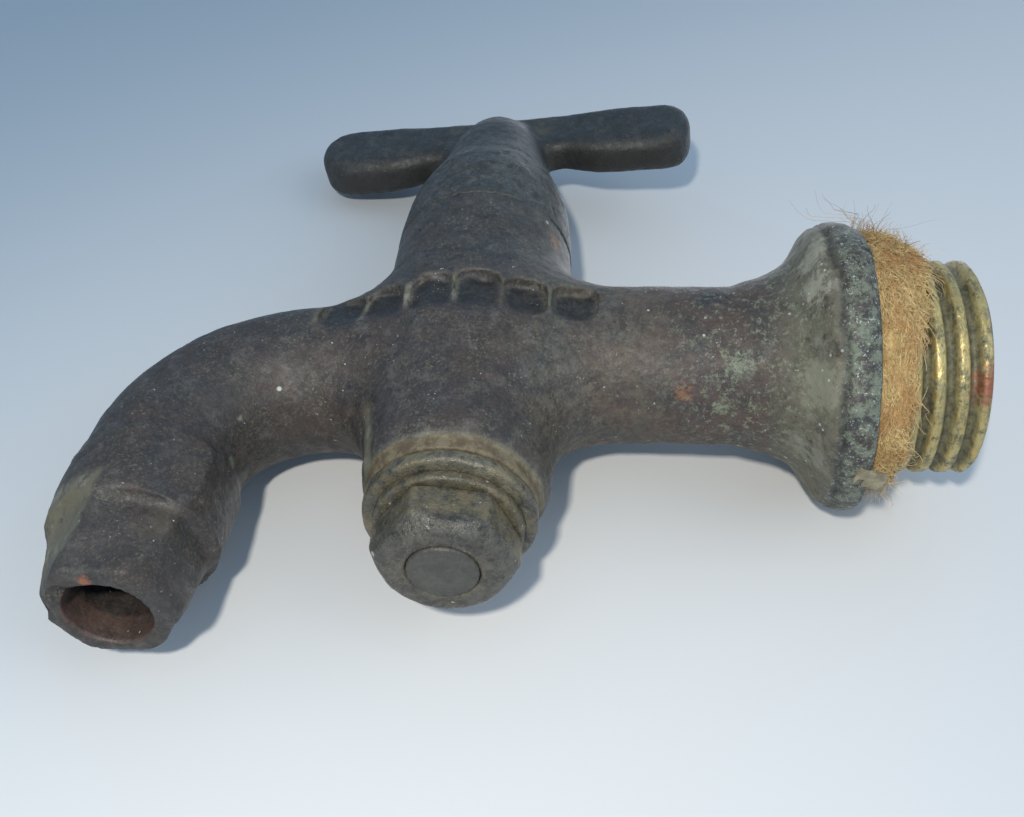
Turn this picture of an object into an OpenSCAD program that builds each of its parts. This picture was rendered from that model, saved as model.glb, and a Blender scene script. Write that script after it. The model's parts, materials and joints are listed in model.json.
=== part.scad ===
// Plug tap: a tapered key turns in a tapered barrel, between a threaded inlet and a bent spout.
// +X runs out of the inlet, +Z up the key towards its handle, and the spout opens downwards.
// The origin is on the inlet's axis, in the plane of the flange's sealing face.

/* [Inlet] */
// Distance from the key's axis to the flange's sealing face
flange_x = 38; // [36:0.5:42]
// Radius of the flange
flange_r = 14.2; // [13:0.1:16]
// Thickness of the flange's rim
flange_t = 3.8; // [3:0.1:5]
// Radius of the neck between barrel and flange
neck_r = 7.9; // [7.5:0.1:8.4]
// Outside radius of the male thread
thread_r = 10.48; // [10.2:0.01:11]
// Root radius of the male thread
thread_root_r = 9.35; // [9.1:0.05:9.6]
// Distance from one thread crest to the next
thread_pitch = 2.1; // [2:0.1:2.3]
// Number of thread crests clear of the hemp
clear_turns = 3; // [2:1:3]
// Length of the threaded spigot beyond the flange
spigot_l = 11; // [10:0.5:14]
// Radius of the waterway through the spigot and the neck
inlet_bore_r = 5.8; // [5:0.1:6.2]

/* [Barrel] */
// Outside radius of the barrel at the height of the inlet's axis
barrel_r = 9.5; // [9:0.1:10]
// Height of the barrel's top edge
barrel_top = 17; // [15:0.5:19]
// Depth of the barrel's bottom edge
barrel_bottom = 19.8; // [18:0.1:20.5]
// Growth of the barrel's radius per millimetre of height
barrel_slope = 0.04; // [0.03:0.01:0.05]
// Radius of the foot that the tail's washer runs against
foot_r = 7.9; // [7.6:0.1:8.1]
// Height of that foot
foot_h = 1.3; // [1:0.1:1.6]

/* [Marks on the barrel] */
// Number of shallow arched pockets along each side of the body
pocket_count = 6; // [4:1:6]
// Distance from one pocket to the next
pocket_pitch = 4.6; // [4.4:0.1:4.8]
// Width of one pocket
pocket_w = 3.6; // [3:0.1:3.8]
// Height of one pocket
pocket_h = 4.8; // [4:0.1:5.4]
// Depth of a pocket below the surface
pocket_depth = 0.7; // [0.4:0.1:0.9]
// Distance of the row's middle from the key's axis, towards the spout
pocket_shift = 0.9; // [0:0.1:2]

/* [Spout] */
// Distance from the key's axis to the outlet's axis
outlet_x = 27.7; // [27:0.1:29]
// Radius of the bend's centreline
bend_r = 13.4; // [12.5:0.1:14]
// Depth of the bend's centre below the inlet's axis
bend_drop = 16; // [15:0.5:17]
// Outside radius of the spout
spout_r = 7.35; // [7:0.05:7.6]
// Radius of the waterway through the spout
spout_bore_r = 3.6; // [3.4:0.1:3.8]
// Outside radius of the boss above the snout
boss_r = 8.4; // [8:0.1:9]
// Height of the boss
boss_h = 8; // [7:0.5:9]
// Depth of the snout's mouth below the inlet's axis
mouth_z = 32.4; // [31:0.2:34]
// Outside radius of the mouth
mouth_r = 5.9; // [5.6:0.1:6.3]
// Radius of the mouth's opening
mouth_bore_r = 3.9; // [3.8:0.1:4.2]

/* [Key] */
// Angle of the handle from the flow, as stored
key_angle = -5; // [-10:1:10]
// Radius of the taper at the height of the inlet's axis
plug_r = 6.3; // [6:0.1:6.5]
// Running clearance round the taper
plug_clear = 0.05; // [0.03:0.01:0.1]
// Radius of the port across the key
port_r = 3.8; // [3.4:0.1:3.8]
// Radius of the bell at its foot
bell_r = 10; // [9.6:0.1:10.2]
// Height of the handle's top edge
handle_top = 47; // [45:0.5:50]
// Height of the handle's lobes
lobe_h = 10.2; // [9:0.2:12]
// Half the handle's length
handle_half = 24; // [22:0.5:26]
// Thickness of the handle
handle_t = 4.4; // [4:0.1:5.5]

/* [Tail] */
// Gap between the barrel and what turns above and below it
turning_gap = 0.15; // [0.1:0.05:0.3]
// Width across the square part of the key's tail
square_w = 6.4; // [6:0.1:6.6]
// Radius of the key's threaded tail
tail_r = 3.2; // [3:0.05:3.2]
// Clearance of the square hole and the rings round the tail
tail_clear = 0.05; // [0.03:0.01:0.1]
// Radius of the square-hole washer
washer_r = 7.9; // [7.5:0.1:8.2]
// Thickness of that washer
washer_t = 1.4; // [1:0.1:1.6]
// Radius of the ring between washer and nut
ring_r = 6.8; // [6.4:0.1:7.2]
// Thickness of that ring
ring_t = 1.1; // [0.8:0.1:1.4]
// Width across the nut's flats
nut_af = 11.6; // [11:0.1:12.5]
// Height of the nut
nut_h = 4.6; // [4:0.1:5.5]
// Angle that the nut was tightened to, from the key's square
nut_turn = 13; // [0:1:30]

/* [Hemp] */
// Outside radius of the hemp wrap
hemp_r = 12.4; // [12:0.1:12.8]
// Length of thread that the hemp covers
hemp_l = 4.8; // [4:0.2:4.8]
// Radius of the thread where it is worn down under the hemp
hemp_seat_r = 10.2; // [10:0.05:10.3]

/* [Hidden] */
$fn = 96;

over = 1;
washer_top = -barrel_bottom - turning_gap;
ring_top = washer_top - washer_t;
nut_top = ring_top - ring_t;
nut_bottom = nut_top - nut_h;
plug_end = -barrel_bottom + 0.6;
bell_foot = barrel_top + turning_gap;
step = 0.2;

// The bend ends where its tangent passes through the crossing of the two axes
bend_centre = [-outlet_x + bend_r, -bend_drop];
centre_dist = norm(bend_centre);
run_l = sqrt(centre_dist * centre_dist - bend_r * bend_r);
bend_angle = 180 - atan2(-bend_centre[1], -bend_centre[0]) - acos(bend_r / centre_dist);
run_slope = 90 - bend_angle;

function plug_radius(z) = plug_r + barrel_slope * z;
function barrel_radius(z) = barrel_r + barrel_slope * z;

module at_key() {
    translate([-flange_x, 0, 0]) children();
}

module at_turned_key() {
    at_key() rotate([0, 0, key_angle]) children();
}

// Turns a profile drawn as [distance along X, radius] about the X axis. The surface's seam lies
// seam_angle round from the sides, clear of the pockets.
module turned_about_x() {
    seam_angle = 45;
    rotate([90, 0, 90])
        rotate([0, 0, seam_angle])
            rotate_extrude()
                rotate([0, 0, 90]) mirror([0, 1]) children();
}

module barrel_shape() {
    chamfer = 0.3;
    lip = 0.3;
    foot_top = -barrel_bottom + foot_h;
    shoulder = foot_top + 1.6;
    rotate_extrude() polygon([
        [0, -barrel_bottom],
        [foot_r - chamfer, -barrel_bottom],
        [foot_r, -barrel_bottom + chamfer],
        [foot_r, foot_top],
        [foot_r + lip, foot_top],
        [barrel_radius(shoulder), shoulder],
        [barrel_radius(barrel_top), barrel_top],
        [0, barrel_top]
    ]);
}

module inlet_shape() {
    flare_start = flange_x - 12;
    flare_top = neck_r + 4.8;
    rim = 0.7;
    turned_about_x() polygon([
        [0, 0],
        [0, neck_r + 1.2],
        [barrel_r, neck_r + 1.2],
        [barrel_r + 7, neck_r],
        [flare_start, neck_r],
        [flare_start + 3, neck_r + 0.8],
        [flare_start + 5.8, neck_r + 2.1],
        [flare_start + 6.8, neck_r + 3.4],
        [flare_start + 7.6, flare_top],
        [flange_x - flange_t, flange_r - rim],
        [flange_x - flange_t + rim, flange_r],
        [flange_x - rim, flange_r],
        [flange_x, flange_r - rim],
        [flange_x, thread_root_r],
        [flange_x + spigot_l, thread_root_r],
        [flange_x + spigot_l, 0]
    ]);
    first_crest = flange_x + spigot_l - 0.3 - thread_pitch / 2;
    for (i = [0:clear_turns - 1])
        translate([first_crest - thread_pitch * i, 0, 0]) thread_crest(thread_r);
    translate([first_crest - thread_pitch * clear_turns, 0, 0]) thread_crest(hemp_seat_r);
}

module thread_crest(top_r) {
    crest = 0.5;
    foot = 1;
    turned_about_x() polygon([
        [-foot, thread_root_r - step],
        [-crest, top_r],
        [crest, top_r],
        [foot, thread_root_r - step]
    ]);
}

// A round run from the crossing of the axes, through the bend, as far as the start of the drop
module spout_run(r, run_extra) {
    rotate([0, -90 - run_slope, 0]) cylinder(r = r + run_extra, h = run_l + step);
    translate([bend_centre[0], 0, bend_centre[1]])
        rotate([90, 0, 0])
            rotate_extrude(angle = bend_angle, start = 180 - bend_angle)
                translate([bend_r, 0]) circle(r = r);
}

module spout_shape() {
    boss_foot = -bend_drop - boss_h;
    spout_run(spout_r, step);
    translate([-outlet_x, 0, 0]) {
        rotate_extrude() polygon([
            [0, -bend_drop + step],
            [spout_r + step, -bend_drop + step],
            [boss_r, -bend_drop - 2.5],
            [boss_r, boss_foot + 2],
            [mouth_r, boss_foot - 0.5],
            [0, boss_foot - 0.5]
        ]);
        intersection() {
            translate([0, 0, -mouth_z]) cylinder(r1 = mouth_r, r2 = boss_r, h = mouth_z + boss_foot + over);
            translate([0, 0, -mouth_z]) rotate([0, 0, 30])
                cylinder(r1 = mouth_r * 1.12, r2 = boss_r, h = mouth_z + boss_foot + over, $fn = 6);
        }
    }
}

module waterway() {
    inlet_end = barrel_r + 2;
    translate([inlet_end, 0, 0]) rotate([0, 90, 0]) cylinder(r = inlet_bore_r, h = flange_x + spigot_l);
    rotate([0, 90, 0]) cylinder(r = port_r, h = inlet_end + over);
    spout_run(spout_bore_r, -step / 2);
    translate([-outlet_x, 0, -mouth_z - over]) cylinder(r = mouth_bore_r, h = mouth_z + over - bend_drop + step);
}

module taper_bore() {
    low = -barrel_bottom - over;
    high = barrel_top + over;
    translate([0, 0, low])
        cylinder(r1 = plug_radius(low) + plug_clear, r2 = plug_radius(high) + plug_clear, h = high - low);
}

// One arched pocket: a block with a round top that cuts pocket_depth into a side wall at wall_y
module pocket(x, wall_y) {
    arch = pocket_w / 2;
    cut_l = pocket_depth + 3;
    translate([x, -wall_y + pocket_depth, -pocket_h / 2]) rotate([90, 0, 0]) linear_extrude(height = cut_l) {
        translate([-arch, 0]) square([pocket_w, pocket_h - arch]);
        translate([0, pocket_h - arch]) circle(r = arch, $fn = 24);
    }
}

module pockets() {
    mid = (pocket_count - 1) / 2;
    for (i = [0:pocket_count - 1]) {
        x = (i - mid) * pocket_pitch - pocket_shift;
        wall_y = max(sqrt(max(barrel_r * barrel_r - x * x, 0)), neck_r);
        for (side = [0, 1])
            mirror([0, side, 0]) pocket(x, wall_y);
    }
}

module tap_body() {
    color("#4b463d") at_key() difference() {
        union() {
            barrel_shape();
            inlet_shape();
            spout_shape();
        }
        taper_bore();
        waterway();
        pockets();
    }
}

module bell_and_plug() {
    rotate_extrude() polygon([
        [0, nut_bottom - step],
        [tail_r - 0.4, nut_bottom - step],
        [tail_r, nut_bottom + step],
        [tail_r, plug_end],
        [plug_radius(plug_end), plug_end],
        [plug_radius(barrel_top), barrel_top],
        [plug_radius(barrel_top), bell_foot],
        [bell_r, bell_foot],
        [bell_r - 0.4, bell_foot + 3],
        [bell_r - 1.3, bell_foot + 9],
        [bell_r - 2.5, bell_foot + 16],
        [bell_r - 3.6, bell_foot + 19],
        [3.4, handle_top - 0.6],
        [2.8, handle_top],
        [0, handle_top]
    ]);
}

module handle_outline() {
    lobe_r = lobe_h / 2;
    waist_h = lobe_h - 2;
    lobe_x = handle_half - lobe_r;
    translate([-lobe_x, handle_top - waist_h]) square([2 * lobe_x, waist_h - step]);
    for (side = [-1, 1])
        translate([side * lobe_x, handle_top - lobe_r]) circle(r = lobe_r);
}

module key() {
    color("#454a47") at_turned_key() difference() {
        union() {
            bell_and_plug();
            translate([0, handle_t / 2, 0]) rotate([90, 0, 0]) linear_extrude(height = handle_t) handle_outline();
            translate([0, 0, (ring_top + plug_end + step) / 2])
                cube([square_w, square_w, plug_end + step - ring_top], center = true);
        }
        rotate([0, 90, 0]) cylinder(r = port_r, h = 4 * plug_r, center = true);
    }
}

module tail_washer() {
    chamfer = 0.4;
    color("#6f6a50") at_turned_key() difference() {
        translate([0, 0, ring_top]) {
            cylinder(r1 = washer_r - chamfer, r2 = washer_r, h = chamfer);
            translate([0, 0, chamfer]) cylinder(r = washer_r, h = washer_t - chamfer);
        }
        hole_w = square_w + 2 * tail_clear;
        translate([0, 0, ring_top + washer_t / 2]) cube([hole_w, hole_w, 2 * washer_t], center = true);
    }
}

module nut_ring() {
    color("#605a44") at_turned_key() translate([0, 0, nut_top]) difference() {
        cylinder(r = ring_r, h = ring_t);
        translate([0, 0, -over]) cylinder(r = tail_r + tail_clear, h = ring_t + 2 * over);
    }
}

module tail_nut() {
    corner_r = nut_af / sqrt(3);
    color("#57523f") at_turned_key() translate([0, 0, nut_bottom]) difference() {
        intersection() {
            rotate([0, 0, nut_turn]) cylinder(r = corner_r, h = nut_h, $fn = 6);
            rotate_extrude() polygon([
                [0, 0],
                [nut_af / 2 - 0.5, 0],
                [corner_r - 0.3, 1.4],
                [corner_r - 0.1, nut_h - 0.5],
                [nut_af / 2, nut_h],
                [0, nut_h]
            ]);
        }
        translate([0, 0, -over]) cylinder(r = tail_r + tail_clear, h = nut_h + 2 * over);
    }
}

module hemp_wrap() {
    round = 0.8;
    color("#b08a55") difference() {
        turned_about_x() polygon([
            [0, 0],
            [0, hemp_r],
            [hemp_l - round, hemp_r],
            [hemp_l, hemp_r - round],
            [hemp_l, 0]
        ]);
        translate([-over, 0, 0]) rotate([0, 90, 0]) cylinder(r = hemp_seat_r, h = hemp_l + 2 * over);
    }
}

tap_body();
key();
tail_washer();
nut_ring();
tail_nut();
hemp_wrap();
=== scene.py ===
"""Looks of an old cast plug tap that lies on a pale table.

Shapes are fields: a function gives the distance from a point to a surface, in millimetres, in a
frame whose origin is where the key's axis crosses the inlet's. A field is turned into a mesh, so
castings get real fillets, dents and worn edges. The frame's own metres are used only at the end.
"""

import itertools
import json
import math

import bpy
import numpy as np
from mathutils import Matrix, Vector


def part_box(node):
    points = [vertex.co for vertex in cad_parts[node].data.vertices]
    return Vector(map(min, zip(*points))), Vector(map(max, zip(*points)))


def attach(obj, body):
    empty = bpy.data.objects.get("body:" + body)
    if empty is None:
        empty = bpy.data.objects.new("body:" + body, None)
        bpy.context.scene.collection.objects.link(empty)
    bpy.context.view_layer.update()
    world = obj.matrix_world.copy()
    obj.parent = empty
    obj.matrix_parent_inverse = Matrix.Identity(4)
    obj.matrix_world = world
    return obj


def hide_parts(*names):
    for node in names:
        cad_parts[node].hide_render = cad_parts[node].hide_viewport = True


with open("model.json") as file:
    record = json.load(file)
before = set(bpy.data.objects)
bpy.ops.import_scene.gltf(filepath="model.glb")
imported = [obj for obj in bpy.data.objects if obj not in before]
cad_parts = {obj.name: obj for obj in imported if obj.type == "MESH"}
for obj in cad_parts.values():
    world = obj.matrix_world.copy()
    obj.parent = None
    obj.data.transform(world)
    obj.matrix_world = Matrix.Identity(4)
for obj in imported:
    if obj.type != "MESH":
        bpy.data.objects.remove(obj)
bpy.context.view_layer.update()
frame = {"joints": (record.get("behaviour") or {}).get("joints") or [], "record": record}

MM = 0.001
SEED = 11
mounts = {m["name"]: m for m in frame["record"]["mounts"]}
key_joint = frame["joints"][0]
KEY_AXIS = np.array(key_joint["pos_m"])


# ---- sizes, from the frame

def box_mm(node):
    """The node's lowest and highest corner, in millimetres from the crossing of the axes."""
    low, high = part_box(node)
    return (np.array(low) - KEY_AXIS) / MM, (np.array(high) - KEY_AXIS) / MM


body_low, body_high = box_mm("tap_body")
key_low, key_high = box_mm("key")
washer_low, washer_high = box_mm("tail_washer")
ring_low, ring_high = box_mm("nut_ring")
nut_low, nut_high = box_mm("tail_nut")
hemp_high = box_mm("hemp_wrap")[1]

FLANGE_X = -KEY_AXIS[0] / MM
FLANGE_R = body_high[1]
THREAD_END = body_high[0]
THREAD_R = mounts["inlet_thread"]["dims"]["r_mm"]
INLET_BORE_R = mounts["inlet_bore"]["dims"]["r_mm"]
OUTLET_X = (mounts["outlet_bore"]["pos_m"][0] - KEY_AXIS[0]) / MM
OUTLET_BORE_R = mounts["outlet_bore"]["dims"]["r_mm"]
MOUTH_Z = body_low[2]
BOSS_R = OUTLET_X - body_low[0]
BARREL_TOP = body_high[2]
BARREL_BOTTOM = washer_high[2] + 0.15
HANDLE_TOP = key_high[2]
KEY_TURN = math.radians(-5)

NECK_R = 7.9
THREAD_ROOT_R = 9.35
THREAD_PITCH = 2.1
SPOUT_R = 7.3
SPOUT_BORE_R = 3.6
PORT_R = 3.8
BEND_R = 13.4
BEND_Z = -16.0
PLUG_R = 6.3
PLUG_SLOPE = 0.04
PLUG_CLEAR = 0.05
TAIL_R = 3.2
SQUARE_W = 6.4
HANDLE_T = 4.4


# ---- noise and field helpers

def noise(points, size, seed):
    """Smooth noise from -1 to 1 at each point, with lumps of about that size in millimetres."""
    scaled = points / size
    cell = np.floor(scaled).astype(np.int64)
    part = scaled - cell
    part = part * part * (3 - 2 * part)
    total = np.zeros(len(points))
    for corner in itertools.product((0, 1), repeat=3):
        at = cell + corner
        mixed = at[:, 0] * 374761393 + at[:, 1] * 668265263 + at[:, 2] * 974634777 + seed * 69069
        mixed = (mixed ^ (mixed >> 13)) * 1274126177
        value = ((mixed ^ (mixed >> 16)) & 0xFFFF) / 32767.5 - 1
        weight = np.where(corner, part, 1 - part).prod(axis=1)
        total += value * weight
    return total


def layered(points, size, seed, layers=3):
    """Noise of several sizes together, each half the size and strength of the last."""
    return sum(noise(points, size / 2**i, seed + i) / 2**i for i in range(layers))


def smooth_union(a, b, k):
    return np.minimum(a, b) - np.maximum(k - np.abs(a - b), 0) ** 2 / (4 * k)


def smooth_both(a, b, k):
    return -smooth_union(-a, -b, k)


def smooth_cut(a, b, k):
    """What is in a and not in b."""
    return smooth_both(a, -b, k)


def ramp(value, start, end):
    """0 before start, 1 after end, smooth between."""
    t = np.clip((value - start) / (end - start), 0, 1)
    return t * t * (3 - 2 * t)


class Profile:
    """A radius that follows knots of (place, radius), with its corners eased over a length."""

    def __init__(self, knots, ease):
        places, radii = np.array(knots, float).T
        self.places = np.linspace(places[0], places[-1], 800)
        radius = np.interp(self.places, places, radii)
        width = max(1, int(ease / (self.places[1] - self.places[0]) / 2))
        kernel = np.hanning(2 * width + 3)
        padded = np.pad(radius, width + 1, mode="reflect", reflect_type="odd")
        self.radii = np.convolve(padded, kernel / kernel.sum(), mode="valid")
        self.slopes = np.gradient(self.radii, self.places)

    def distance(self, place, rho):
        """Distance from the turned surface, at a place along its axis and rho from it."""
        radius = np.interp(place, self.places, self.radii)
        slope = np.interp(place, self.places, self.slopes)
        return (rho - radius) / np.sqrt(1 + slope * slope)


# ---- meshes from fields

def grid_values(field, low, step, shape):
    """The field at each point of a grid, worked out closely only near the surface."""
    coarse = 4
    few = [n // coarse + 2 for n in shape]
    places = np.indices(few).reshape(3, -1).T * (step * coarse) + low
    rough = field(places).reshape(few)
    values = rough.repeat(coarse, 0).repeat(coarse, 1).repeat(coarse, 2)
    values = values[:shape[0], :shape[1], :shape[2]].copy()
    near = np.argwhere(np.abs(values) < 2.6 * step * coarse)
    for part in np.array_split(near, max(1, len(near) // 400000)):
        values[tuple(part.T)] = field(part * step + low)
    return values


def surface_net(values, low, step):
    """Points and quads of the surface where a grid of values crosses zero."""
    corners = list(itertools.product((0, 1), repeat=3))
    inside = values < 0
    cells_shape = np.array(values.shape) - 1
    total = np.zeros(cells_shape, np.int8)
    for i, j, k in corners:
        total += inside[i:i + cells_shape[0], j:j + cells_shape[1], k:k + cells_shape[2]]
    cells = np.argwhere((total > 0) & (total < 8))
    number = np.full(cells_shape, -1, np.int64)
    number[tuple(cells.T)] = np.arange(len(cells))
    at_corner = {c: values[tuple((cells + c).T)] for c in corners}
    summed, count = np.zeros((len(cells), 3)), np.zeros(len(cells))
    for a, b in itertools.combinations(corners, 2):
        if sum(abs(m - n) for m, n in zip(a, b)) != 1:
            continue
        va, vb = at_corner[a], at_corner[b]
        cross = (va < 0) != (vb < 0)
        part = np.where(cross, va / np.where(cross, va - vb, 1), 0)
        place = np.array(a) + part[:, None] * (np.array(b) - np.array(a))
        summed += place * cross[:, None]
        count += cross
    points = (cells + summed / count[:, None]) * step + low
    quads = []
    for axis in range(3):
        u, v = (axis + 1) % 3, (axis + 2) % 3
        ahead = np.roll(inside, -1, axis)
        crossing = inside != ahead
        for side, edge in ((axis, -1), (u, 0), (v, 0), (u, -1), (v, -1)):
            crossing[tuple(edge if n == side else slice(None) for n in range(3))] = False
        at = np.argwhere(crossing)
        step_u, step_v = np.eye(3, dtype=int)[u], np.eye(3, dtype=int)[v]
        around = (step_u * 0, step_u, step_u + step_v, step_v)
        ring = np.stack([number[tuple((at - a).T)] for a in around], 1)
        flip = ~inside[tuple(at.T)]
        ring[flip] = ring[flip][:, ::-1]
        quads.append(ring)
    return points, np.concatenate(quads)


def slope_of(field, points, gap=0.05):
    shifts = np.eye(3) * gap
    return np.stack([field(points + s) - field(points - s) for s in shifts], 1) / (2 * gap)


def placed(name, data):
    """A new object in the scene."""
    piece = bpy.data.objects.new(name, data)
    bpy.context.collection.objects.link(piece)
    return piece


def paint(mesh, masks):
    """Stores four masks for each of the mesh's points."""
    layer = mesh.color_attributes.new("masks", "FLOAT_COLOR", "POINT")
    layer.data.foreach_set("color", np.clip(masks, 0, 1).ravel())


def mesh_of(name, field, low, high, step, detail, masks):
    """A mesh of the field's surface, pushed out by the detail, and painted with four masks."""
    low = np.array(low, float) - 2 * step
    shape = np.ceil((np.array(high, float) + 2 * step - low) / step).astype(int) + 1
    points, quads = surface_net(grid_values(field, low, step, shape), low, step)
    for _ in range(2):
        slope = slope_of(field, points)
        square = np.maximum((slope ** 2).sum(1), 0.05)
        points -= np.clip(field(points) / square, -step, step)[:, None] * slope
    slope = slope_of(field, points)
    normals = slope / np.maximum(np.linalg.norm(slope, axis=1), 1e-6)[:, None]
    rest = points.copy()
    if detail:
        points += normals * detail(points)[:, None]
    mesh = bpy.data.meshes.new(name)
    mesh.vertices.add(len(points))
    mesh.vertices.foreach_set("co", (points * MM + KEY_AXIS).ravel())
    mesh.loops.add(quads.size)
    mesh.loops.foreach_set("vertex_index", quads.ravel())
    mesh.polygons.add(len(quads))
    mesh.polygons.foreach_set("loop_start", np.arange(0, quads.size, 4))
    mesh.polygons.foreach_set("use_smooth", np.ones(len(quads), bool))
    mesh.update(calc_edges=True)
    mesh.validate()
    paint(mesh, masks(rest, normals))
    return placed(name, mesh)


# ---- the body's field

def knots_from(start, *knots):
    """Knots whose places are counted from a start."""
    return [(start + place, radius) for place, radius in knots]


LIP_Z = BARREL_BOTTOM + 1.3
BARREL = Profile([
    (-24, 7.8), (BARREL_BOTTOM + 0.2, 7.85),
    *knots_from(LIP_Z, (-0.15, 7.95), (0.05, 8.2), (0.6, 8.45), (1.6, 8.72), (3, 8.78)),
    (0, 9.35), (10, 9.8), (14, 9.85), (17, 9.8), (22, 9.7),
], 0.25)
NECK = Profile([(-4, 8.2), (8, 8.2), (17, NECK_R), *knots_from(
    FLANGE_X, (-12, NECK_R), (-10.5, 8.3), (-9, 8.7), (-8, 9.1), (-7, 9.6), (-6.2, 10.2),
    (-5.6, 11.0), (-5, 12.0), (-4.5, 12.9), (-4, 13.5), (-3.4, 13.9), (-2.7, FLANGE_R + 0.05),
    (-1.7, FLANGE_R + 0.15), (-0.8, FLANGE_R), (-0.2, FLANGE_R - 0.4), (1, FLANGE_R - 1),
)], 0.5)
BOSS = Profile([
    (-29, 4.2), (-26, 5.8), (-24.6, 6.7), (-23.6, 7.3), (-22, BOSS_R - 0.9), (-19.6, BOSS_R - 1.0),
    (-17.2, 7.0), (-15.3, 6.2), (-12, 3),
], 0.7)
bend_centre = np.array([OUTLET_X + BEND_R, BEND_Z])
run_length = math.sqrt(bend_centre @ bend_centre - BEND_R**2)
to_crossing = math.atan2(-bend_centre[1], -bend_centre[0])
run_angle = math.acos(BEND_R / np.linalg.norm(bend_centre)) + to_crossing
bend_length = BEND_R * (math.pi - run_angle)
bend_start = bend_centre + BEND_R * np.array([math.cos(run_angle), math.sin(run_angle)])


def spout_line(p):
    """(distance from the spout's centreline, distance along it from the crossing of the axes)."""
    x, y, z = p.T
    along = np.clip((x * bend_start[0] + z * bend_start[1]) / run_length, 0, run_length)
    run = np.hypot(x - along * bend_start[0] / run_length, z - along * bend_start[1] / run_length)
    angle = np.arctan2(z - bend_centre[1], x - bend_centre[0]) % (2 * np.pi)
    angle = np.clip(angle, run_angle, np.pi)
    bend_x = bend_centre[0] + BEND_R * np.cos(angle)
    bend_z = bend_centre[1] + BEND_R * np.sin(angle)
    bend = np.hypot(x - bend_x, z - bend_z)
    drop_z = np.clip(z, MOUTH_Z - 4, BEND_Z)
    drop = np.hypot(x - OUTLET_X, z - drop_z)
    parts = np.stack([run, bend, drop])
    which = parts.argmin(0)
    lengths = np.stack([
        along,
        run_length + BEND_R * (angle - run_angle),
        run_length + bend_length + BEND_Z - drop_z,
    ])
    return np.hypot(parts.min(0), y), np.take_along_axis(lengths, which[None], 0)[0]


def hexagon(x, y, radius, turn):
    """Distance from a hexagonal prism with that distance to its flats."""
    flats = [turn + n * math.pi / 3 for n in range(6)]
    return np.max([x * np.cos(a) + y * np.sin(a) for a in flats], axis=0) - radius


SNOUT_TOP = -20
SNOUT_TURN = math.radians(-66)
UPPER_TWIST = math.radians(9)
LOWER_TWIST = math.radians(17)
MOUTH_FLAT = 5.5
FLAT_GROWTH = 1.2
MOUTH_CORNER = 6.2
CORNER_GROWTH = 1.5
BACK_ROUNDING = 0.45
ARCH_RISE = 2.2


def snout_turn(z):
    """The direction of the snout's front flat, which twists towards the mouth."""
    return SNOUT_TURN - UPPER_TWIST * ramp(-z, 21, 28) - LOWER_TWIST * ramp(-z, 27, 33)


def snout_field(p):
    """A turned boss over a six-sided, twisted snout, whose flats run up into the boss as arches."""
    x, y, z = (p - (OUTLET_X, 0, 0)).T
    turn = snout_turn(z)
    off_flat = (np.arctan2(y, x) - turn + math.pi / 6) % (math.pi / 3) - math.pi / 6
    arched = z + ARCH_RISE * (off_flat / (math.pi / 6)) ** 2 - 0.5
    boss = BOSS.distance(arched, np.hypot(x + 0.4, y))
    boss = smooth_both(boss, np.maximum(z + 14, -z - 28), 0.5)
    rise = (z - MOUTH_Z) / (SNOUT_TOP - MOUTH_Z)
    flats = hexagon(x, y, MOUTH_FLAT + FLAT_GROWTH * rise, turn)
    cone = np.hypot(x, y) - MOUTH_CORNER - CORNER_GROWTH * rise + BACK_ROUNDING * ramp(y, -1, 3)
    ends = np.maximum(z - SNOUT_TOP - 3, MOUTH_Z + 0.1 - z)
    snout = smooth_both(smooth_both(flats, cone, 0.2), ends, 0.6)
    return smooth_union(boss, snout, 0.45)


FILLET = 6.5
FLANGE_TOP = np.array([0, -0.73, 0.68])
FLANGE_SKEW = 0.05


def to_line(p, start, end):
    """Distance from the straight line between two points."""
    start, run = np.array(start), np.array(end) - start
    part = np.clip((p - start) @ run / (run @ run), 0, 1)
    return np.linalg.norm(p - start - part[:, None] * run, axis=1)


def rim_groove(p):
    """1 in the ragged groove behind the flange's rim, 0 away from it."""
    x, y, z = p.T
    wander = 0.5 * noise(p, 4, SEED + 44) + 0.2 * noise(p, 1.2, SEED + 45)
    place = x - FLANGE_X + 3.3 + wander + FLANGE_SKEW * (p @ FLANGE_TOP)
    return np.exp(-(place / 0.3) ** 2) * ramp(np.hypot(y, z), 12, 13)


def solid_field(p):
    """The casting without its bores."""
    x, y, z = p.T
    barrel_ends = np.maximum(z - BARREL_TOP, BARREL_BOTTOM - z)
    barrel = smooth_both(BARREL.distance(z, np.hypot(x, y)), barrel_ends, 0.05)
    about_x = np.hypot(y, z)
    skewed = x + FLANGE_SKEW * (p @ FLANGE_TOP) * ramp(x, 24, 30)
    neck = smooth_both(NECK.distance(skewed, about_x), np.maximum(x - FLANGE_X, -x - 2), 0.3)
    away, along = spout_line(p)
    spout_r = SPOUT_R + 0.45 * ramp(along, 16, 4) + 0.15 * ramp(along, 30, 40)
    spout = np.maximum(away - spout_r, MOUTH_Z + 8 - z)
    tubes = smooth_union(neck, spout, 2)
    return smooth_union(smooth_union(barrel, tubes, FILLET), snout_field(p), 0.9)


THREAD_STEEPNESS = 0.72
THREAD_START = 0.42


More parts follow.
